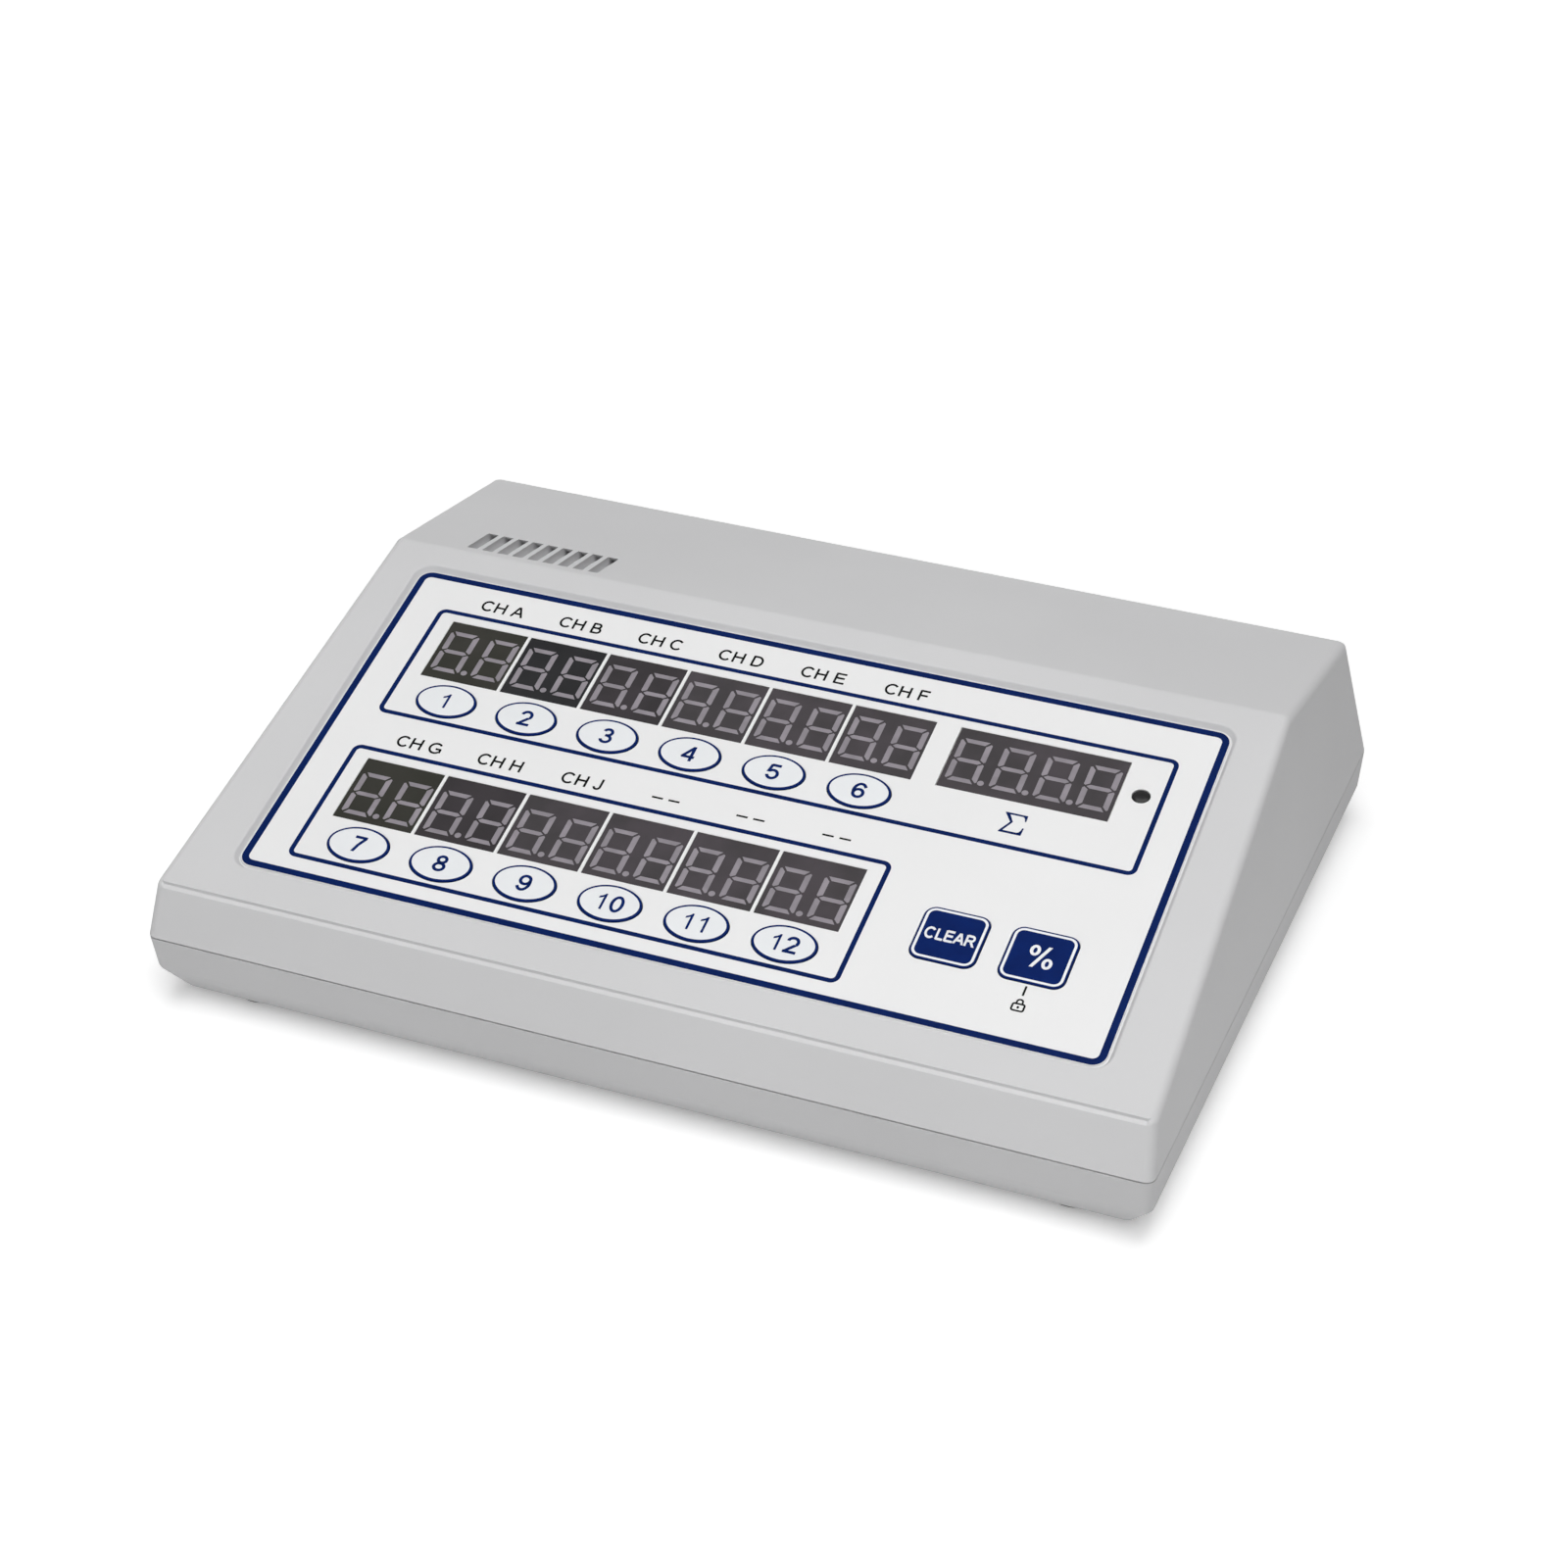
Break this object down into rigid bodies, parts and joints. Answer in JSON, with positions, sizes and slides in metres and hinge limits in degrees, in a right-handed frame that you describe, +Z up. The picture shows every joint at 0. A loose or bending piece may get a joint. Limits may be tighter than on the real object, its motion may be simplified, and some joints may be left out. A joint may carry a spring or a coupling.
{
  "type": "differential cell counter",
  "caption": "Sloping desk counter with two rows of digit displays over oval keys, a total display, two square function keys, vents, and a power inlet and rocker switch at the back.",
  "frame": {"origin": "on the table, at the middle of the case's width and depth", "axes": "+X to the user's right, +Y to the back, +Z up; the control face looks to -Y and up"},
  "size_m": [0.174, 0.1466, 0.0498],
  "materials": {
    "case_light_grey": "fine moulded texture",
    "case_grey": "fine moulded texture",
    "film_white": "satin printed film",
    "key_white": "satin",
    "key_blue": "satin",
    "display_face": "smooth",
    "smoked_lens": "smooth",
    "board_green": "solder mask",
    "black_plastic": "moulded",
    "switch_black": "moulded",
    "chip_black": "moulded",
    "screw_steel": "zinc plated",
    "can_metal": "drawn",
    "contact_metal": "plated",
    "capacitor_blue": "sleeve",
    "ribbon_grey": "extruded",
    "sink_aluminium": "extruded",
    "black_rubber": "moulded"
  },
  "bodies": {
    "case": {"upper_case": "case_light_grey", "lower_case": "case_grey", "front_film": "film_white", "main_board": "board_green", "key_switches": "black_plastic", "board_screws": "screw_steel", "case_screws": "screw_steel", "rubber_feet": "black_rubber", "display_01": "display_face", "display_02": "display_face", "display_03": "display_face", "display_04": "display_face", "display_05": "display_face", "display_06": "display_face", "display_07": "display_face", "display_08": "display_face", "display_09": "display_face", "display_10": "display_face", "display_11": "display_face", "display_12": "display_face", "display_total": "display_face", "indicator_lens": "smoked_lens", "controller_chip": "chip_black", "display_drivers": "chip_black", "clock_crystal": "can_metal", "filter_capacitors": "capacitor_blue", "main_header": "black_plastic", "power_header": "black_plastic", "ribbon_plugs": "black_plastic", "ribbon_cable": "ribbon_grey", "power_board": "board_green", "power_board_screws": "screw_steel", "inlet_jack": "black_plastic", "inlet_pin_contact": "contact_metal", "switch_housing": "switch_black", "switch_terminals": "contact_metal", "voltage_regulator": "chip_black", "heat_sink": "sink_aluminium", "reservoir_capacitor": "capacitor_blue", "buzzer": "black_plastic"},
    "key_01": {"key_01": "key_white"},
    "key_02": {"key_02": "key_white"},
    "key_03": {"key_03": "key_white"},
    "key_04": {"key_04": "key_white"},
    "key_05": {"key_05": "key_white"},
    "key_06": {"key_06": "key_white"},
    "key_07": {"key_07": "key_white"},
    "key_08": {"key_08": "key_white"},
    "key_09": {"key_09": "key_white"},
    "key_10": {"key_10": "key_white"},
    "key_11": {"key_11": "key_white"},
    "key_12": {"key_12": "key_white"},
    "key_reset": {"key_reset": "key_blue"},
    "key_percent": {"key_percent": "key_blue"},
    "rocker": {"switch_rocker": "switch_black"}
  },
  "joints": [
    {"name": "key_01_press", "type": "slide", "parent": "case", "child": "key_01", "axis": [0, 0.2957, -0.9553], "range_m": [0, 0.00035], "stiffness_N_per_m": 2500},
    {"name": "key_02_press", "type": "slide", "parent": "case", "child": "key_02", "axis": [0, 0.2957, -0.9553], "range_m": [0, 0.00035], "stiffness_N_per_m": 2500},
    {"name": "key_03_press", "type": "slide", "parent": "case", "child": "key_03", "axis": [0, 0.2957, -0.9553], "range_m": [0, 0.00035], "stiffness_N_per_m": 2500},
    {"name": "key_04_press", "type": "slide", "parent": "case", "child": "key_04", "axis": [0, 0.2957, -0.9553], "range_m": [0, 0.00035], "stiffness_N_per_m": 2500},
    {"name": "key_05_press", "type": "slide", "parent": "case", "child": "key_05", "axis": [0, 0.2957, -0.9553], "range_m": [0, 0.00035], "stiffness_N_per_m": 2500},
    {"name": "key_06_press", "type": "slide", "parent": "case", "child": "key_06", "axis": [0, 0.2957, -0.9553], "range_m": [0, 0.00035], "stiffness_N_per_m": 2500},
    {"name": "key_07_press", "type": "slide", "parent": "case", "child": "key_07", "axis": [0, 0.2957, -0.9553], "range_m": [0, 0.00035], "stiffness_N_per_m": 2500},
    {"name": "key_08_press", "type": "slide", "parent": "case", "child": "key_08", "axis": [0, 0.2957, -0.9553], "range_m": [0, 0.00035], "stiffness_N_per_m": 2500},
    {"name": "key_09_press", "type": "slide", "parent": "case", "child": "key_09", "axis": [0, 0.2957, -0.9553], "range_m": [0, 0.00035], "stiffness_N_per_m": 2500},
    {"name": "key_10_press", "type": "slide", "parent": "case", "child": "key_10", "axis": [0, 0.2957, -0.9553], "range_m": [0, 0.00035], "stiffness_N_per_m": 2500},
    {"name": "key_11_press", "type": "slide", "parent": "case", "child": "key_11", "axis": [0, 0.2957, -0.9553], "range_m": [0, 0.00035], "stiffness_N_per_m": 2500},
    {"name": "key_12_press", "type": "slide", "parent": "case", "child": "key_12", "axis": [0, 0.2957, -0.9553], "range_m": [0, 0.00035], "stiffness_N_per_m": 2500},
    {"name": "key_reset_press", "type": "slide", "parent": "case", "child": "key_reset", "axis": [0, 0.2957, -0.9553], "range_m": [0, 0.00035], "stiffness_N_per_m": 2500},
    {"name": "key_percent_press", "type": "slide", "parent": "case", "child": "key_percent", "axis": [0, 0.2957, -0.9553], "range_m": [0, 0.00035], "stiffness_N_per_m": 2500},
    {"name": "rocker_switch", "type": "hinge", "parent": "case", "child": "rocker", "pos_m": [0.026, 0.0644, 0.02865], "axis": [1, 0, 0], "range_deg": [0, 22]}
  ]
}
